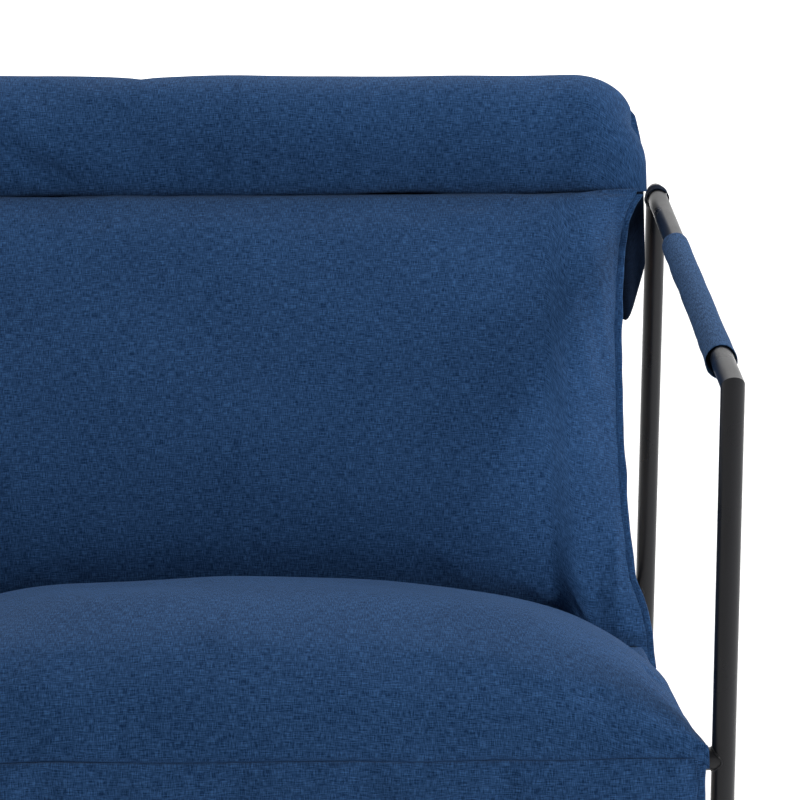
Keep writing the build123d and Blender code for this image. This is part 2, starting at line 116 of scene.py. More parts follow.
FLAP_BEHIND = 0.0125         # behind the back frame's plane
GUSSET_HALF_WIDTH = 0.345
GUSSET_SAG = 0.010
SLEEVE_WRAP = math.radians(405)
SLEEVE_FIRST = math.radians(158)    # its first edge, from straight up towards the inside
TIE_WRAP = math.radians(385)
TIE_FIRST = math.radians(100)
THREAD_PITCH = 0.0011
WELD_R = 0.0011
SIDES = (("left", -1), ("right", 1))


# ---- material nodes --------------------------------------------------------------------------
def node(tree, kind, values=None, **settings):
    """Adds a node. values are its inputs: numbers, or sockets to link from."""
    item = tree.nodes.new(kind)
    for key, value in settings.items():
        setattr(item, key, value)
    for key, value in (values or {}).items():
        if isinstance(value, bpy.types.NodeSocket):
            tree.links.new(value, item.inputs[key])
        else:
            item.inputs[key].default_value = value
    return item


def new_material(name, **shader_values):
    material = bpy.data.materials.new(name)
    material.use_nodes = True
    tree = material.node_tree
    tree.nodes.clear()
    shader = node(tree, "ShaderNodeBsdfPrincipled")
    for key, value in shader_values.items():
        shader.inputs[key.replace("_", " ")].default_value = value
    output = node(tree, "ShaderNodeOutputMaterial")
    tree.links.new(shader.outputs["BSDF"], output.inputs["Surface"])
    return material, tree, shader


def noise_at(tree, vector, scale, detail=2.0, roughness=0.5):
    """Noise from 0 to 1; scale is (x, y, z) in features per metre."""
    place = node(tree, "ShaderNodeMapping", {"Vector": vector, "Scale": scale})
    values = {"Vector": place.outputs["Vector"], "Scale": 1.0, "Detail": detail, "Roughness": roughness}
    return node(tree, "ShaderNodeTexNoise", values).outputs["Fac"]


def maths(tree, operation, a, b=0.0):
    return node(tree, "ShaderNodeMath", {0: a, 1: b}, operation=operation).outputs[0]


def spread(tree, value, low, high, to_low=0.0, to_high=1.0):
    return node(tree, "ShaderNodeMapRange", {"Value": value, "From Min": low, "From Max": high,
                                             "To Min": to_low, "To Max": to_high}).outputs["Result"]


def blend_colour(tree, factor, a, b):
    return node(tree, "ShaderNodeMix", {0: factor, 6: a, 7: b}, data_type="RGBA").outputs[2]


def bump(tree, shader, height, distance, strength=1.0):
    item = node(tree, "ShaderNodeBump", {"Height": height, "Distance": distance, "Strength": strength})
    tree.links.new(item.outputs["Normal"], shader.inputs["Normal"])


def linen(name, dark, light, sheen=0.06):
    """Plain weave of slubby yarns. The weave runs along the piece's own cloth, in metres."""
    material, tree, shader = new_material(name, Roughness=0.92, Sheen_Weight=sheen, Sheen_Roughness=0.5,
                                          Sheen_Tint=(0.60, 0.78, 1.0, 1.0), Specular_IOR_Level=0.05)
    cloth = node(tree, "ShaderNodeAttribute", attribute_name="weave").outputs["Vector"]
    weft = noise_at(tree, cloth, (100.0, 1350.0, 1.0), 2.0, 0.6)
    warp = noise_at(tree, cloth, (1350.0, 120.0, 1.0), 2.0, 0.6)
    slub = noise_at(tree, cloth, (60.0, 900.0, 3.0), 1.0)
    cloud = noise_at(tree, cloth, (9.0, 11.0, 2.0), 3.0)
    yarns = maths(tree, "ADD", maths(tree, "MULTIPLY", weft, 0.46), maths(tree, "MULTIPLY", warp, 0.44))
    yarns = maths(tree, "ADD", yarns, maths(tree, "MULTIPLY", slub, 0.10))
    tone = maths(tree, "ADD", yarns, maths(tree, "MULTIPLY", maths(tree, "SUBTRACT", cloud, 0.5), 0.06))
    colour = blend_colour(tree, spread(tree, tone, 0.43, 0.61), dark, light)
    tree.links.new(colour, shader.inputs["Base Color"])

    parts = node(tree, "ShaderNodeSeparateXYZ", {0: cloth})
    threads = [maths(tree, "SINE", maths(tree, "MULTIPLY", parts.outputs[axis], math.tau / THREAD_PITCH))
               for axis in (0, 1)]
    weave = maths(tree, "MULTIPLY", maths(tree, "MULTIPLY", threads[0], threads[1]), 0.18)
    bump(tree, shader, maths(tree, "ADD", yarns, weave), 0.0007, 0.8)
    return material


def powder_coat(name, colour, roughness):
    """Satin powder coat: fine orange peel, slightly uneven gloss."""
    material, tree, shader = new_material(name, Specular_IOR_Level=0.30)
    place = node(tree, "ShaderNodeTexCoord").outputs["Object"]
    grain = noise_at(tree, place, (1100.0, 1100.0, 1100.0), 2.0)
    wide = noise_at(tree, place, (14.0, 14.0, 14.0), 3.0)
    light = tuple(c * 1.45 for c in colour[:3]) + (1.0,)
    tone = maths(tree, "ADD", maths(tree, "MULTIPLY", grain, 0.7), maths(tree, "MULTIPLY", wide, 0.3))
    mixed = blend_colour(tree, spread(tree, tone, 0.35, 0.65), colour, light)
    gloss = spread(tree, wide, 0.3, 0.7, roughness - 0.05, roughness + 0.07)
    tree.links.new(mixed, shader.inputs["Base Color"])
    tree.links.new(gloss, shader.inputs["Roughness"])
    bump(tree, shader, grain, 0.00012, 0.6)
    return material


def moulded(name, colour, roughness, grain_scale=1600.0):
    """Moulded plastic or rubber with a fine spark-eroded grain and faint wear."""
    material, tree, shader = new_material(name, Specular_IOR_Level=0.4)
    place = node(tree, "ShaderNodeTexCoord").outputs["Object"]
    grain = noise_at(tree, place, (grain_scale,) * 3, 1.0)
    wear = noise_at(tree, place, (35.0, 35.0, 35.0), 4.0, 0.7)
    light = tuple(min(1.0, c * 1.5 + 0.01) for c in colour[:3]) + (1.0,)
    mixed = blend_colour(tree, spread(tree, wear, 0.45, 0.75), colour, light)
    gloss = spread(tree, wear, 0.3, 0.7, roughness, roughness + 0.12)
    tree.links.new(mixed, shader.inputs["Base Color"])
    tree.links.new(gloss, shader.inputs["Roughness"])
    bump(tree, shader, grain, 0.00008, 0.5)
    return material


def brushed_metal(name, colour, roughness):
    """Zinc-plated or stamped steel, with fine scratches and dull patches."""
    material, tree, shader = new_material(name, Metallic=1.0)
    place = node(tree, "ShaderNodeTexCoord").outputs["Object"]
    scratch = noise_at(tree, place, (300.0, 300.0, 6000.0), 2.0)
    patch = noise_at(tree, place, (60.0, 60.0, 60.0), 4.0, 0.6)
    dull = tuple(c * 0.72 for c in colour[:3]) + (1.0,)
    mixed = blend_colour(tree, spread(tree, patch, 0.35, 0.7), dull, colour)
    gloss = spread(tree, scratch, 0.3, 0.7, roughness - 0.08, roughness + 0.1)
    tree.links.new(mixed, shader.inputs["Base Color"])
    tree.links.new(gloss, shader.inputs["Roughness"])
    bump(tree, shader, scratch, 0.00003, 0.5)
    return material


def slat_wood(name):
    """Bent beech ply: long grain across the seat, with darker flecks."""
    material, tree, shader = new_material(name, Specular_IOR_Level=0.35)
    place = node(tree, "ShaderNodeTexCoord").outputs["Object"]
    grain = noise_at(tree, place, (6.0, 220.0, 220.0), 4.0, 0.6)
    fleck = noise_at(tree, place, (90.0, 900.0, 900.0), 1.0)
    late, early = (0.36, 0.20, 0.095, 1), (0.56, 0.37, 0.20, 1)
    colour = blend_colour(tree, spread(tree, grain, 0.3, 0.7), late, early)
    colour = blend_colour(tree, spread(tree, fleck, 0.66, 0.74, 0.0, 0.5), colour, (0.20, 0.10, 0.045, 1))
    tree.links.new(colour, shader.inputs["Base Color"])
    tree.links.new(spread(tree, grain, 0.3, 0.7, 0.38, 0.52), shader.inputs["Roughness"])
    bump(tree, shader, grain, 0.0001, 0.5)
    return material


NAVY = linen("cushion_linen", (0.0050, 0.0195, 0.0600, 1), (0.0330, 0.0900, 0.2150, 1))
SLEEVE_LINEN = linen("sleeve_linen", (0.0090, 0.0270, 0.0680, 1), (0.0480, 0.1030, 0.2200, 1), 0.04)
# Painted shade: a much darker copy of the cover linen for the rear flap and the tie bands, which sit in
# shade.
SHADED_LINEN = linen("linen_painted_shade", (0.0012, 0.0032, 0.0090, 1), (0.0050, 0.0120, 0.0290, 1), 0.01)

FINISHES = {
    "frame_paint": powder_coat("charcoal_powder_coat", (0.0035, 0.0038, 0.0055, 1), 0.30),
    "hinge_plate": powder_coat("hinge_plate_coat", (0.012, 0.0125, 0.014, 1), 0.46),
    "hinge_hardware": brushed_metal("zinc_plate", (0.62, 0.63, 0.65, 1), 0.34),
    "friction_disc": moulded("friction_fibre", (0.10, 0.045, 0.022, 1), 0.75, 900.0),
    "foot_cap": moulded("foot_plastic", (0.012, 0.012, 0.013, 1), 0.5),
    "tube_plug": moulded("plug_plastic", (0.012, 0.012, 0.013, 1), 0.45),
    "slat_holder": moulded("holder_plastic", (0.016, 0.016, 0.017, 1), 0.5),
    "bumper_rubber": moulded("bumper_rubber", (0.018, 0.018, 0.018, 1), 0.8),
    "slat_wood": slat_wood("slat_beech"),
    "cushion_fabric": NAVY,
    "sleeve_fabric": SLEEVE_LINEN,
    "tie_webbing": NAVY,
}
for cad_node in frame["nodes"].values():
    for material_slot in cad_node.material_slots:
        material_slot.material = FINISHES[material_slot.material.name]


# ---- cloth meshes ----------------------------------------------------------------------------
def run(count):
    """Evenly spaced numbers from -1 to 1."""
    return np.linspace(-1.0, 1.0, count)


def soft(value):
    """Wavy noise around 0, of about unit size, for an array of places."""
    flat = np.asarray(value, float).reshape(-1, 3)
    return np.array([noise.noise(Vector(p)) for p in flat]).reshape(np.asarray(value).shape[:-1]) * 2.0


def wave(x, length, seed):
    """Gentle unevenness along a seam, around 0."""
    x = np.asarray(x, float)
    return soft(np.stack([x / length, np.full_like(x, seed), np.zeros_like(x)], -1))


def lengths(points):
    """Cloth coordinates of a grid of points: distance across and along from its middle, in metres."""
    across = np.zeros(points.shape[:2])
    along = np.zeros(points.shape[:2])
    across[1:] = np.cumsum(np.linalg.norm(np.diff(points, axis=0), axis=2), axis=0)
    along[:, 1:] = np.cumsum(np.linalg.norm(np.diff(points, axis=1), axis=2), axis=1)
    across -= across[points.shape[0] // 2][None, :]
    along -= along[:, points.shape[1] // 2][:, None]
    return np.stack([across, along, np.zeros_like(across)], -1)


class Cloth:
    """Builds one mesh out of grids of points, each with its own cloth coordinates."""

    def __init__(self, name):
        self.name = name
        self.mesh = bmesh.new()
        self.weave = self.mesh.verts.layers.float_vector.new("weave")
        self.pinned = self.mesh.verts.layers.int.new("pinned")

    def grid(self, points, shared=None, pin=None, close=False):
        """Adds a grid. Where shared holds a vertex, that one is used in place of the grid's own."""
        rows, columns = points.shape[:2]
        cloth = lengths(points)
        table = np.empty((rows, columns), object)
        for i in range(rows):
            for j in range(columns):
                if shared is not None and shared[i, j] is not None:
                    table[i, j] = shared[i, j]
                    continue
                vertex = self.mesh.verts.new(points[i, j])
                vertex[self.weave] = Vector(cloth[i, j])
                vertex[self.pinned] = int(pin is not None and bool(pin[i, j]))
                table[i, j] = vertex
        for i in range(rows - 1):
            for j in range(columns if close else columns - 1):
                k = (j + 1) % columns
                corners = [table[i, j], table[i + 1, j], table[i + 1, k], table[i, k]]
                if len(set(corners)) == 4 and self.mesh.faces.get(corners) is None:
                    self.mesh.faces.new(corners)
        return table

    def pillow(self, top, bottom):
        """Two sheets that share their edge; the edge and the bottom are held while the top swells."""
        shape = top.shape[:2]
        edge = np.ones(shape, bool)
        edge[1:-1, 1:-1] = False
        table = self.grid(top, pin=edge)
        shared = np.full(shape, None, object)
        shared[edge] = table[edge]
        self.grid(bottom, shared=shared, pin=np.ones(shape, bool))
        return table

    def finish(self, material, merge=0.0, thickness=0.0):
        """Makes the piece, with the points that a simulation holds in the group "held"."""
        if merge:
            bmesh.ops.remove_doubles(self.mesh, verts=self.mesh.verts, dist=merge)
        bmesh.ops.recalc_face_normals(self.mesh, faces=self.mesh.faces)
        data = bpy.data.meshes.new(self.name)
        self.mesh.verts.index_update()
        held = [v.index for v in self.mesh.verts if v[self.pinned]]
        self.mesh.to_mesh(data)
        self.mesh.free()
        piece = bpy.data.objects.new(self.name, data)
        bpy.context.scene.collection.objects.link(piece)
        data.materials.append(material)
        data.shade_smooth()
        piece.vertex_groups.new(name="held").add(held, 1.0, "REPLACE")
        if thickness:
            solid = piece.modifiers.new("thickness", "SOLIDIFY")
            solid.thickness = thickness
            solid.offset = 0.0
            solid.use_even_offset = False
        smooth = piece.modifiers.new("smooth", "SUBSURF")
        smooth.levels = smooth.render_levels = 1
        return piece


def puff(piece, swell, pressure, limit, frames=18, stiffness=12.0):
    """Cloth simulation: the piece's free cloth is a little too big for its seams, so it swells and puckers.

    swell is the share of extra cloth, and limit the furthest a point may move.
    """
    scene = bpy.context.scene
    later = [(m.name, m.show_viewport) for m in piece.modifiers]
    for name, _ in later:
        piece.modifiers[name].show_viewport = False
    cloth = piece.modifiers.new("cloth", "CLOTH")
    piece.modifiers.move(len(piece.modifiers) - 1, 0)
    settings = cloth.settings
    settings.vertex_group_mass = "held"
    settings.quality = 5
    settings.mass = 0.25
    settings.tension_stiffness = settings.compression_stiffness = stiffness
    settings.shear_stiffness = stiffness / 3
    settings.bending_stiffness = 0.6
    settings.air_damping = 4.0
    settings.shrink_min = settings.shrink_max = -swell
    settings.use_pressure = True
    settings.uniform_pressure_force = pressure
    settings.effector_weights.gravity = 0.0
    cloth.collision_settings.use_collision = False
    cloth.point_cache.frame_start = 1
    cloth.point_cache.frame_end = frames
    for step in range(1, frames + 1):
        scene.frame_set(step)
    swollen = piece.evaluated_get(bpy.context.evaluated_depsgraph_get()).to_mesh()
    count = len(piece.data.vertices)
    before, after = np.empty(count * 3), np.empty(count * 3)
    piece.data.vertices.foreach_get("co", before)
    swollen.vertices.foreach_get("co", after)
    before, after = before.reshape(-1, 3), after.reshape(-1, 3)
    moved = after - before
    distance = np.linalg.norm(moved, axis=1, keepdims=True) + 1e-9
    moved *= limit * np.tanh(distance / limit) / distance
    piece.data.vertices.foreach_set("co", (before + moved).ravel())
    piece.modifiers.remove(cloth)
    for name, shown in later:
        piece.modifiers[name].show_viewport = shown
    scene.frame_set(1)
    piece.data.update()


def smooth_step(value):
    value = np.clip(value, 0, 1)
    return value * value * (3 - 2 * value)


def seat_points(x, y, z):
    """y behind the front rail's axis, z above the floor."""
    return np.stack([x, FRONT_RAIL.y + y, z], -1)


def back_points(x, rise, out):
    """rise up the back frame from the hinge axis, out in front of the back frame's plane."""
    base = np.array(HINGE)[None, None, :] + np.array(UP) * rise[..., None] + np.array(OUT) * out[..., None]
    base[..., 0] = x
    return base


# ---- seat cushion ----------------------------------------------------------------------------
def seat_bed(y):
    return FRONT_RAIL.z + SEAT_BED - SEAT_FALL * y


def seat_droop(x, y):
    """How far the cover's edge hangs over the side rails, towards the rear, and over the front rail."""
    rear = np.clip((y - SEAT_FRONT) / (SEAT_REAR - SEAT_FRONT), 0, 1)
    past_rail = smooth_step((np.abs(x) - SIDE_RAIL_OUTSIDE) / 0.012)
    past_front = np.clip((SEAT_FRONT + 0.0055 - y) / 0.005, 0, 1)
    front = SEAM_DROP + SEAT_CORNER_FALL * smooth_step((np.abs(x) - 0.415) / 0.014)
    return SEAT_REAR_FALL * rear ** 0.8 * past_rail + front * past_front


def make_seat():
    """The crowned seat: highest across its ridge, thinner to the sides, and narrower towards the rear."""
    u, v = np.meshgrid(run(round(2.3 * SEAT_HALF_WIDTH / FABRIC_STEP)), run(78), indexing="ij")
    w = np.sin(v * math.pi / 2)
    edge = SEAT_HALF_WIDTH * np.sin(u * math.pi / 2)
    rear_y = SEAT_REAR - SEAT_CORNER_STEP * smooth_step((np.abs(edge) - 0.33) / 0.06)
    y = np.where(w < 0, SEAT_RIDGE + (SEAT_RIDGE - SEAT_FRONT) * w, SEAT_RIDGE + (rear_y - SEAT_RIDGE) * w)
    back = np.clip((y - SEAT_FRONT) / (SEAT_REAR - SEAT_FRONT), 0, 1)
    x = edge * (1 - 0.025 * back)
    body = SEAT_HALF_WIDTH - 0.062 * back ** 1.84
    left = np.clip(1 - w * w, 0, 1)
    ridge = np.where(w < 0, left ** 0.39, left ** 0.42)
    side = np.clip(1 - np.clip(np.abs(x) / body, 0, 1) ** 2.72, 0, 1) ** 0.65
    seam = 0.0018 * wave(x, 0.11, 3.1) * np.exp(-(y - SEAT_FRONT) / 0.02)
    uneven = 0.0035 * soft(np.stack([x * 7, y * 8, np.full_like(x, 0.7)], -1)) * ridge * side
    inner = np.clip(left * 30, 0, 1) * np.clip((1 - np.abs(u)) * 40, 0, 1)
    droop = seat_droop(x, y)
    crown = SEAT_HEIGHT * ridge * side
    top = seat_points(x, y, seat_bed(y) + crown + seam + uneven + 0.0022 * inner - droop)
    bottom = seat_points(x, y, seat_bed(y) + seam - droop)
    cloth = Cloth("seat_cushion")
    cloth.pillow(top, bottom)
    piece = cloth.finish(NAVY)
    puff(piece, swell=0.014, pressure=1.4, limit=0.005)
    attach(piece, "frame")
    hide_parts("seat_pad")


def make_front_panel():
    """The flat padded panel that hangs over the front rail, with a sewn flange down each end."""
    top_z = seat_bed(SEAT_FRONT) - SEAM_DROP
    u, v = np.meshgrid(run(124), run(26), indexing="ij")
    x = (PANEL_HALF_WIDTH - FLANGE) * np.sin(u * math.pi / 2)
    half = (top_z - PANEL_FOOT) / 2
    hem = 0.0015 * wave(x, 0.16, 8.4) * (1 - v) / 2
    z = top_z - half + half * np.sin(v * math.pi / 2) - hem
    z += 0.0015 * wave(x, 0.11, 3.1) * (1 + v) / 2
    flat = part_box("front_rail")[0].y - 0.0008
    edge = flat - 0.0022
    puffed = np.cos(v * math.pi / 2).clip(0, 1) ** 0.42 * np.cos(u * math.pi / 2).clip(0, 1) ** 0.3
    ripple = 0.0012 * soft(np.stack([x * 12, z * 20, np.full_like(x, 5.0)], -1)) * puffed
    front = np.stack([x, edge - PANEL_PUFF * puffed - ripple, z], -1)
    back = np.stack([x, np.full_like(x, flat) - 0.0022 * (1 - puffed), z], -1)
    cloth = Cloth("front_panel_cover")
    cloth.pillow(front, back)
    for sign in (-1, 1):
        down = np.linspace(PANEL_FOOT + 0.002, top_z - 0.006, 40)
        outer = PANEL_HALF_WIDTH + 0.0012 * wave(down, 0.03, 11.0 + sign)
        inner = np.full_like(down, PANEL_HALF_WIDTH - FLANGE - 0.003)
        level = edge - 0.0012 + 0.0008 * wave(down, 0.04, 13.0 + sign)
        rings = [np.stack([sign * across, level + out, down], -1)
                 for across, out in ((inner, -0.0012), (outer, -0.0009), (outer, 0.0009), (inner, 0.0012))]
        add_strip(cloth, rings)
    piece = cloth.finish(NAVY)
    puff(piece, swell=0.018, pressure=0.8, limit=0.003)
    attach(piece, "frame")
    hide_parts("front_panel")


# ---- back cushion, headrest roll and flap ------------------------------------------------------
def back_edge(rise):
    """Outer edge of the back cushion's flange: wider round the hinges and towards the seat, and at the top
    corners, which reach out to the arms."""
    heights = [-0.058, -0.04, -0.02, 0.0, 0.02, 0.04, 0.106, 0.2, 0.32, 0.37, 0.41, 0.44, 0.458, 0.471]
    edges = [0.431, 0.4297, 0.4284, 0.4248, 0.419, 0.412, 0.4065, 0.4035,
             0.4042, 0.4072, 0.4110, 0.4165, 0.4240, 0.4330]
    return np.interp(rise, heights, edges)


def seam_lift(x, rise):
    """How far the edge seam stands further forward, clear of the hinge plates, near the lower corners."""
    near = np.interp(rise, [-0.06, -0.036, -0.02, 0.02, 0.09, 0.12], [0.0, 0.0, 0.010, 0.010, 0.008, 0.0])
    return near * np.clip((np.abs(x) - 0.37) / 0.02, 0, 1)


def make_back():
    """The back cushion with its sewn side edges."""
    u, v = np.meshgrid(run(132), run(90), indexing="ij")
    corner = smooth_step((np.abs(np.sin(u * math.pi / 2)) * 0.41 - 0.325) / 0.030)
    start = BACK_START + (WING_START - BACK_START) * corner
    rise = start + (BACK_PINCH - start) * (1 + np.sin(v * math.pi / 2)) / 2
    half = back_edge(rise) - FLANGE
    x = half * np.sin(u * math.pi / 2)
    above = np.clip((rise - BACK_FULL_AT) / (BACK_PINCH - BACK_FULL_AT), 0, 1)
    below = np.clip((BACK_FULL_AT - rise) / (BACK_FULL_AT - start), 0, 1)
    ends = np.where(rise > BACK_FULL_AT, above, below)
    body = (1 - ends ** 3.0).clip(0, 1) ** 0.5
    plateau = np.clip(0.235 + 0.12 * (rise - 0.1) / 0.25, 0.19, 0.365)
    past = np.clip((np.abs(x) - plateau) / np.maximum(half - plateau, 1e-4), 0, 1)
    side = np.clip(1 - past ** 1.35, 0, 1) ** 0.72
    crown = BACK_CROWN * (1 - 0.06 * (x / half) ** 2)
    uneven = 0.0030 * soft(np.stack([x * 6, rise * 7, np.full_like(x, 2.3)], -1)) * body * side
    edge = BACK_SEAM + seam_lift(x, rise)
    pinch = 0.0012 * wave(x, 0.09, 6.0) + BACK_CORNER_RISE * smooth_step((np.abs(x) - 0.355) / 0.05)
    pinch *= np.clip((v - 0.9) * 10, 0, 1)
    inner = np.clip((1 - v * v) * 12, 0, 1) * np.clip((1 - np.abs(u)) * 30, 0, 1)
    top = back_points(x, rise + pinch, edge + crown * body * side + uneven + 0.002 * inner)
    bottom = back_points(x, rise + pinch, edge - (BACK_SEAM - BACK_BED) * inner)
    cloth = Cloth("back_cushion")
    cloth.pillow(top, bottom)
    for sign in (-1, 1):
        s = np.linspace(WING_START + 0.003, BACK_PINCH - 0.002, 110)
        outer = back_edge(s) + 0.0008 * wave(s, 0.035, 4.0 + sign)
        level = BACK_SEAM + seam_lift(outer, s) + 0.0015 * wave(s, 0.05, 9.0 + sign)
        add_flange(cloth, sign, s, back_edge(s) - FLANGE - 0.003, outer, level)
    piece = cloth.finish(NAVY)
    puff(piece, swell=0.006, pressure=0.9, limit=0.004)
    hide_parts("back_pad")
    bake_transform(piece)


def add_strip(cloth, rings):
    """A closed flat strip through four long edges."""
    points = np.stack(rings, 1)
    cloth.grid(points, pin=np.ones(points.shape[:2], bool), close=True)


def add_flange(cloth, sign, rise, inner, outer, level):
    """The flat sewn edge outside a side seam of the back, two layers thick."""
    rings = []
    for across, out in ((inner, 0.0012), (outer, 0.0009), (outer, -0.0009), (inner, -0.0012)):
        rings.append(back_points((sign * across)[:, None], rise[:, None], (level + out)[:, None])[:, 0])
    add_strip(cloth, rings)


def make_roll():
    """A padded tube across the top. Its ends close on an upright seam, and are fuller below."""
    turns = np.linspace(0, math.tau, 72, endpoint=False) + SEAM_TURN
    end = np.sin(np.linspace(0, math.pi / 2, 16))
    places = np.concatenate([-1 - end[::-1], run(112)[1:-1], 1 + end])
    place, turn = np.meshgrid(places, turns, indexing="ij")
    past = np.clip(np.abs(place) - 1, 0, 1)
    down = smooth_step((0.25 - np.sin(turn)) / 0.9)
    reach = ROLL_HALF_WIDTH - ROLL_BODY + ROLL_LOWER_REACH * down
    x = np.clip(place, -1, 1) * ROLL_BODY + np.sign(place) * reach * past
    left = np.sqrt(np.clip(1 - past ** 2, 0, 1))
    tall = left + (1 - left) * (0.25 + 0.68 * down)

    pull = np.exp(-((np.angle(np.exp(1j * (turn - SEAM_TURN))) / 0.30) ** 2))
    girth = ROLL_R * (1 + 0.015 * wave(x, 0.19, 1.7) + 0.008 * np.sin(3 * turn + x * 9))
    girth += (SEAM_REACH - ROLL_R) * pull
    girth *= 1 + 0.02 * soft(np.stack([x * 9, np.cos(turn), np.sin(turn)], -1)) * left
    points = back_points(x, BACK_REACH + girth * np.sin(turn) * tall, girth * np.cos(turn) * left ** 1.1)
    pin = np.zeros(x.shape, bool)
    pin[:, 0] = True
    pin[:2] = pin[-2:] = True
    cloth = Cloth("headrest_roll_cover")
    cloth.grid(points, pin=pin, close=True)
    for sign in (-1, 1):
        high = np.linspace(0.036, -0.030, 40)
        body = ROLL_BODY + (ROLL_HALF_WIDTH - ROLL_BODY) * np.sqrt(np.clip(1 - (high / ROLL_R) ** 2, 0, 1))
        body += ROLL_LOWER_REACH * smooth_step((0.25 - high / ROLL_R) / 0.9)
        wide = np.interp(high, [-0.030, -0.01, 0.02, 0.036], [0.003, 0.006, 0.009, 0.004])
        outer = body + wide + 0.0008 * wave(high, 0.018, 2.0 + sign)
        outer = np.minimum(outer, LEG_INSIDE - 0.0025)
        level = -0.004 + 0.003 * wave(high, 0.04, 5.0)
        add_flange(cloth, sign, BACK_REACH + high, body - 0.008, outer, level)
    piece = cloth.finish(NAVY, merge=0.0004)
    puff(piece, swell=0.008, pressure=1.0, limit=0.0035)
    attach(piece, "back")
    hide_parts("headrest_roll")


def make_flap():
    """The cover's rear flap hangs behind the back frame, with a point at each lower corner."""
    u, v = np.meshgrid(run(150), np.linspace(0, 1, 26), indexing="ij")
    edge = np.abs(u) * FLAP_HALF_WIDTH
    bottom = np.interp(edge, [0.0, 0.400, 0.408, 0.414, FLAP_HALF_WIDTH],
                       [FLAP_LOW, FLAP_LOW, 0.336, 0.332, 0.400])
    s = bottom + (FLAP_HIGH - bottom) * v
    x = FLAP_HALF_WIDTH * u
    folds = 0.5 + 0.5 * np.sin(np.abs(x) * 330) * smooth_step((edge - 0.38) / 0.03)
    out = -FLAP_BEHIND - (1 - v) * (0.004 + 0.010 * folds + 0.006 * np.abs(np.sin(x * 17)))
    out -= 0.003 * np.abs(soft(np.stack([x * 9, s * 5, np.full_like(x, 4.0)], -1)))
    cloth = Cloth("rear_flap_cover")
    cloth.grid(back_points(x, s, out), pin=(v > 0.97))
    # Painted shade: the flap takes the darkened copy of the cover linen.
    piece = cloth.finish(SHADED_LINEN, thickness=CLOTH_T)
    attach(piece, "back")
    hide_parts("rear_flap")


def make_gusset():
    """The strip of cover from the seat's rear end to the back cushion, a loose fold at the hinge line."""
    rear = FRONT_RAIL.y + SEAT_REAR
    start = Vector((0, rear - 0.004, seat_bed(SEAT_REAR) + 0.012))
    end = HINGE + UP * (BACK_START + 0.010) + OUT * (BACK_SEAM + 0.004)
    u, v = np.meshgrid(run(70), np.linspace(0, 1, 12), indexing="ij")
    x = GUSSET_HALF_WIDTH * u
    sag = GUSSET_SAG * np.sin(v * math.pi)
    y = start.y + (end.y - start.y) * v
    z = start.z + (end.z - start.z) * v - sag + 0.0012 * wave(x, 0.05, 7.7)
    cloth = Cloth("crease_gusset")
    cloth.grid(np.stack([x, y, z], -1))
    piece = cloth.finish(NAVY, thickness=CLOTH_T)
    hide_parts("crease_strip")
    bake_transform(piece)


# ---- arm sleeves and ties --------------------------------------------------------------------
def make_sleeve(side, sign):
    """A strip of cover wrapped round the arm tube; its overlap closes low on the inside."""
    low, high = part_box(f"{side}_sleeve")
    start, end = low.y, high.y
    u, v = np.meshgrid(np.linspace(0, 1, 84), np.linspace(0, 1, 66), indexing="ij")
    angle = SLEEVE_FIRST + SLEEVE_WRAP * v
    hang = 0.5 - 0.5 * np.cos(angle)                 # 0 on top of the tube, 1 below it
    inward = np.sin(angle)
    base = TUBE_R + 0.0008
    loose = 0.0022 * hang + 0.0012 * hang * inward.clip(0, 1)
    layer = 0.0024 * np.clip((v - 0.80) / 0.12, 0, 1)
    mouth = 0.0018 * np.exp(-u * (end - start) / 0.03) * (0.3 + hang)
    creases = 0.0007 * soft(np.stack([u * 9, np.cos(angle) * 1.3, np.sin(angle) * 1.3 + 3 * sign], -1))
    radius = base + loose + layer + mouth + creases.clip(-0.0002, 1) * (0.15 + hang)
    point = 0.011 * np.clip((v - 0.90) / 0.10, 0, 1) * np.exp(-u * (end - start) / 0.03)
    y = start + (end - start) * u - point + 0.0012 * np.sin(angle * 2 + 1) * (1 - 2 * u)
    x = sign * (LEG_X - radius * inward)
    z = ARM_Z + radius * np.cos(angle) - 0.0010 * hang
    cloth = Cloth(f"{side}_arm_sleeve")
    cloth.grid(np.stack([x, y, z], -1))
    piece = cloth.finish(SLEEVE_LINEN, thickness=WRAP_T)
    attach(piece, f"{side}_sleeve")
    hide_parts(f"{side}_sleeve", f"{side}_sleeve_overlap")


def make_tie(side, sign):
    """A sewn loop of cover fabric round the rear arm corner."""
    low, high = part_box(f"{side}_tie_loop")
    u, v = np.meshgrid(np.linspace(0, 1, 14), np.linspace(0, 1, 44), indexing="ij")
    angle = TIE_FIRST + TIE_WRAP * v
    radius = TUBE_R + 0.0013 + 0.0017 * smooth_step((v - 0.90) / 0.07)
    x = sign * (LEG_X - radius * np.sin(angle))
    z = ARM_Z + radius * np.cos(angle)
    front, rear = low.y + 0.003, high.y + 0.006
    y = front + (rear - front) * u + 0.0008 * np.sin(angle * 3)
    cloth = Cloth(f"{side}_tie_band")
    cloth.grid(np.stack([x, y, z], -1))
    # Painted shade: the band takes the darkened copy of the cover linen.
    piece = cloth.finish(SHADED_LINEN, thickness=WRAP_T)
    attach(piece, "frame")
    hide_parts(f"{side}_tie_loop")


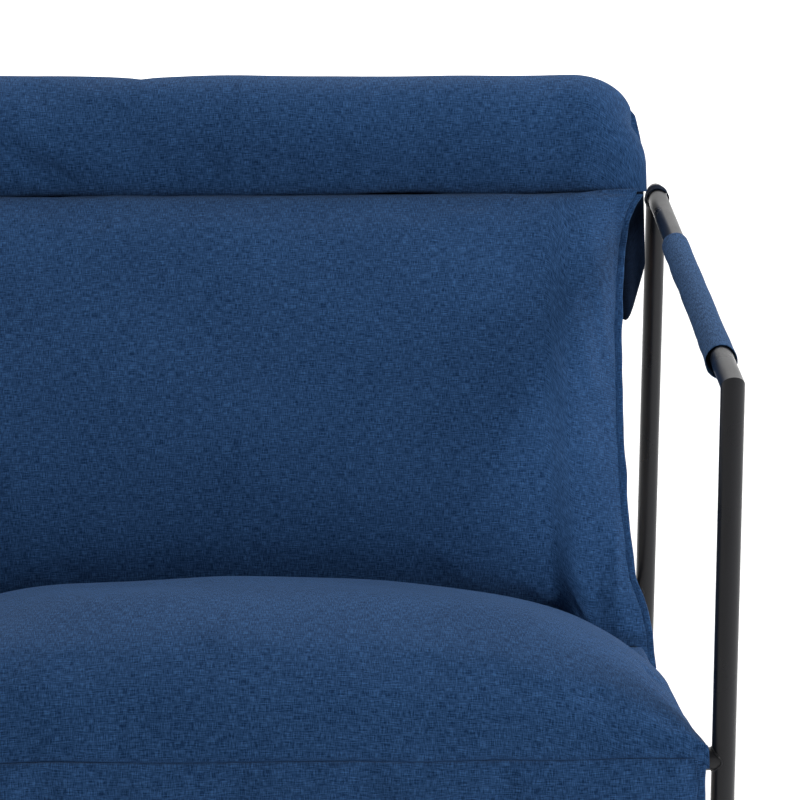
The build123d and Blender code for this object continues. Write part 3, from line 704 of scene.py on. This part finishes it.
# ---- weld beads ------------------------------------------------------------------------------
def make_weld(name, places, radius):
    """A rippled bead along a closed line of places."""
    count = len(places)
    bead = bmesh.new()
    rings = []
    for k in range(count):
        here, after, before = places[k], places[(k + 1) % count], places[k - 1]
        ahead = (after - before).normalized()
        side = ahead.cross(Vector((0.31, 0.52, 0.79))).normalized()
        up = side.cross(ahead)
        size = radius * (1 + 0.16 * math.sin(k * 1.9))
        rings.append([bead.verts.new(here + (side * math.cos(a) + up * math.sin(a)) * size)
                      for a in np.linspace(0, math.tau, 8, endpoint=False)])
    for k in range(count):
        for m in range(8):
            n = (m + 1) % 8
            bead.faces.new([rings[k][m], rings[k][n], rings[(k + 1) % count][n], rings[(k + 1) % count][m]])
    bmesh.ops.recalc_face_normals(bead, faces=bead.faces)
    data = bpy.data.meshes.new(name)
    bead.to_mesh(data)
    bead.free()
    data.materials.append(FINISHES["frame_paint"])
    data.shade_smooth()
    piece = bpy.data.objects.new(name, data)
    bpy.context.scene.collection.objects.link(piece)
    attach(piece, "frame")


def add_rail_welds():
    """Where the front and the rear rail are coped to the legs."""
    for side, sign in SIDES:
        for end, rail in (("front", FRONT_RAIL), ("rear", REAR_RAIL)):
            places = []
            for angle in np.linspace(0, math.tau, 48, endpoint=False):
                y, z = RAIL_R * math.cos(angle), RAIL_R * math.sin(angle)
                inside = math.sqrt(max(TUBE_R ** 2 - y ** 2, 0))
                places.append(Vector((sign * (LEG_X - inside), rail.y + y, rail.z + z)))
            make_weld(f"{side}_{end}_rail_weld", places, WELD_R)


# ---- build -------------------------------------------------------------------------------------
make_seat()
make_front_panel()
make_back()
make_roll()
make_flap()
make_gusset()
for side_name, side_sign in SIDES:
    make_sleeve(side_name, side_sign)
    make_tie(side_name, side_sign)
add_rail_welds()


# ---- floor, light and camera -----------------------------------------------------------------
def add_floor():
    """A pale floor, which glows further out as a lit studio sweep does."""
    material, tree, shader = new_material("floor_white", Roughness=0.85, Specular_IOR_Level=0.1)
    place = node(tree, "ShaderNodeTexCoord").outputs["Object"]
    mottle = noise_at(tree, place, (2.0, 2.0, 2.0), 2.0)
    colour = blend_colour(tree, mottle, (0.93, 0.93, 0.93, 1), (0.96, 0.96, 0.96, 1))
    tree.links.new(colour, shader.inputs["Base Color"])
    away = node(tree, "ShaderNodeVectorMath", {0: place}, operation="LENGTH").outputs["Value"]
    shader.inputs["Emission Color"].default_value = (1.0, 1.0, 1.0, 1.0)
    tree.links.new(spread(tree, away, 2.4, 6.0, 0.0, 0.75), shader.inputs["Emission Strength"])
    bpy.ops.mesh.primitive_plane_add(size=80, location=(0, 0, -0.0005))
    floor = bpy.context.object
    floor.name = "studio_floor"
    floor.data.materials.append(material)


def add_light(name, place, target, size, power):
    lamp = bpy.data.lights.new(name, "AREA")
    lamp.shape = "RECTANGLE"
    lamp.size, lamp.size_y = size
    lamp.energy = power
    item = bpy.data.objects.new(name, lamp)
    item.location = place
    item.rotation_euler = (Vector(target) - Vector(place)).to_track_quat("-Z", "Y").to_euler()
    bpy.context.scene.collection.objects.link(item)


def add_world(strength):
    """White near the horizon, and of the given strength above."""
    world = bpy.data.worlds.new("studio")
    world.use_nodes = True
    tree = world.node_tree
    background = next(n for n in tree.nodes if n.type == "BACKGROUND")
    background.inputs["Color"].default_value = (1.0, 1.0, 1.0, 1.0)
    direction = node(tree, "ShaderNodeTexCoord").outputs["Generated"]
    height = node(tree, "ShaderNodeSeparateXYZ", {0: direction}).outputs[2]
    tree.links.new(spread(tree, height, 0.28, 0.50, 1.0, strength), background.inputs["Strength"])
    bpy.context.scene.world = world


def add_camera():
    """Standing in front of the sofa's middle, looking down at its right half."""
    yaw, pitch, roll = math.radians(0.82), math.radians(15.888), math.radians(-0.14)
    ahead = Vector((math.sin(yaw) * math.cos(pitch), math.cos(yaw) * math.cos(pitch), -math.sin(pitch)))
    level = Vector((math.cos(yaw), -math.sin(yaw), 0))
    above = level.cross(ahead)
    right = level * math.cos(roll) + above * math.sin(roll)
    top = above * math.cos(roll) - level * math.sin(roll)
    data = bpy.data.cameras.new("camera")
    data.lens = 153.95
    data.sensor_width = 36.0
    data.clip_end = 100.0
    camera = bpy.data.objects.new("camera", data)
    camera.matrix_world = Matrix((right, top, -ahead)).transposed().to_4x4()
    camera.location = (0.1121, -3.3545, 1.4885)
    bpy.context.scene.collection.objects.link(camera)
    bpy.context.scene.camera = camera


add_floor()
add_world(0.06)
add_light("key", (2.3, -1.2, 1.95), (0.25, 0.0, 0.45), (1.1, 1.1), 60.0)
add_light("overhead", (0.0, 3.4, 4.2), (0.0, 3.2, 0.0), (8.0, 7.0), 430.0)
add_camera()
bpy.context.scene.view_settings.view_transform = "Standard"
bpy.context.scene.view_settings.look = "None"
